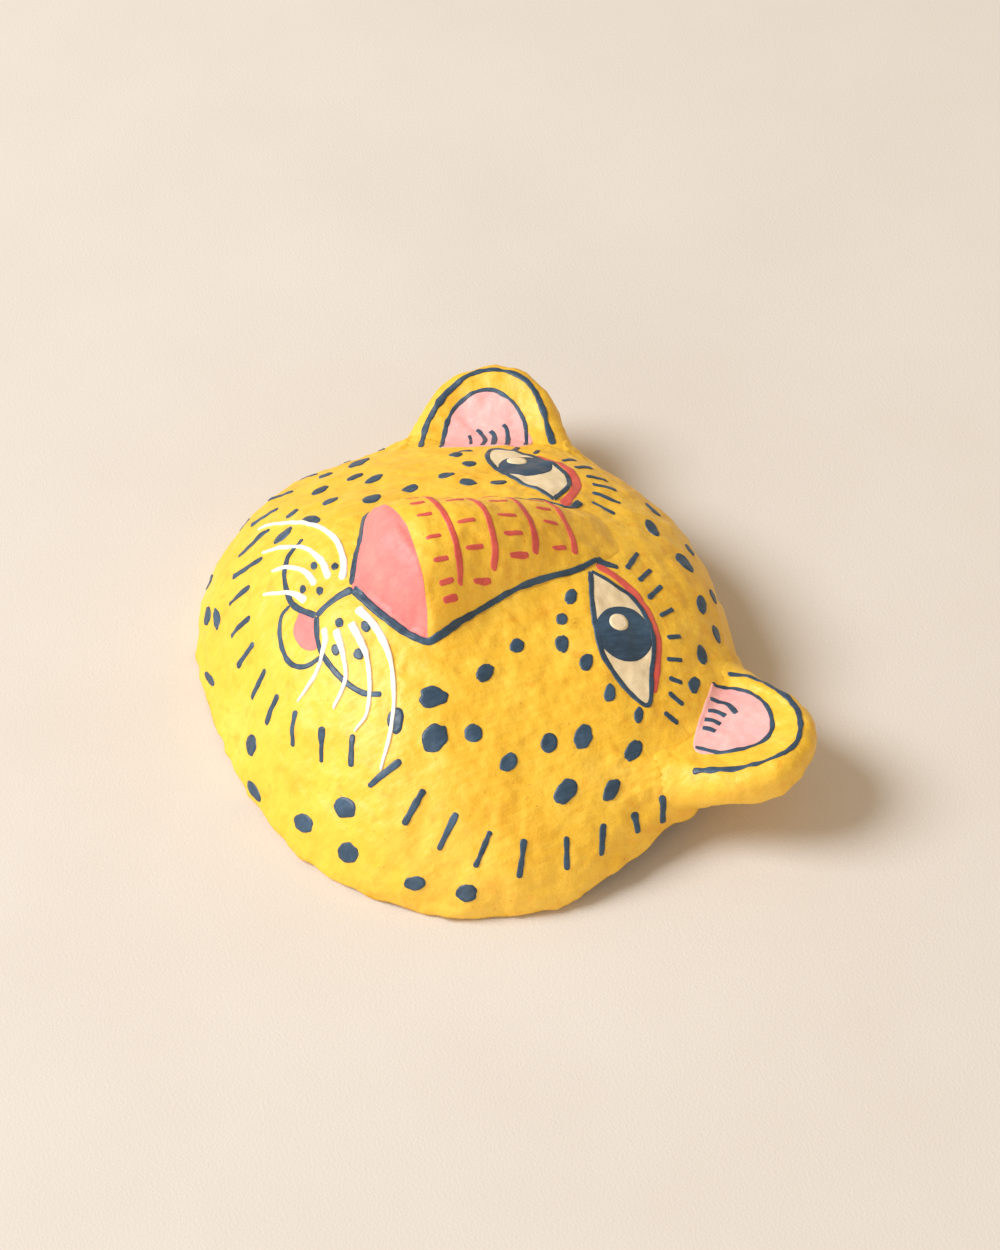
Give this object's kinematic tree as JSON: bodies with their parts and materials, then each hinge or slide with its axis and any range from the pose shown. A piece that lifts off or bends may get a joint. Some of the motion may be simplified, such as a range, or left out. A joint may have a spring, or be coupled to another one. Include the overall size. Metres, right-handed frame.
{
  "type": "wall mask",
  "caption": "Hollow laminated paper animal face mask with a domed shell, raised nose, two slab ears and a wire to hang it by.",
  "frame": {"origin": "middle of the mask's bounding box seen from the front, at the flat back edge of the rim", "axes": "+Z out of the face, +Y to the forehead, +X to the wearer's left ear"},
  "size_m": [0.207, 0.1698, 0.0805],
  "materials": {
    "painted_shell": "golden yellow acrylic over laminated paper, navy marks, satin",
    "painted_nose": "golden yellow acrylic with red stripes, satin",
    "pink_pad": "pink acrylic, satin",
    "painted_pulp": "golden yellow acrylic over paper pulp, satin",
    "painted_ears": "golden yellow acrylic with pale pink inner faces, satin",
    "bare_paper": "bare glued kraft paper, matt",
    "card": "plain grey-brown card, matt",
    "steel_wire": "bare galvanised wire"
  },
  "bodies": {
    "root": {"face_shell": "painted_shell", "rim_band": "bare_paper", "nose_bridge": "painted_nose", "nose_pad": "pink_pad", "nose_former": "card", "nose_fillet": "painted_pulp", "ear_left": "painted_ears", "ear_right": "painted_ears", "ear_core_left": "card", "ear_core_right": "card", "ear_fillet_left": "painted_pulp", "ear_fillet_right": "painted_pulp", "ear_tab_patch_left": "bare_paper", "ear_tab_patch_right": "bare_paper", "hanger_wire": "steel_wire", "hanger_patch_left": "bare_paper", "hanger_patch_right": "bare_paper"}
  },
  "joints": []
}
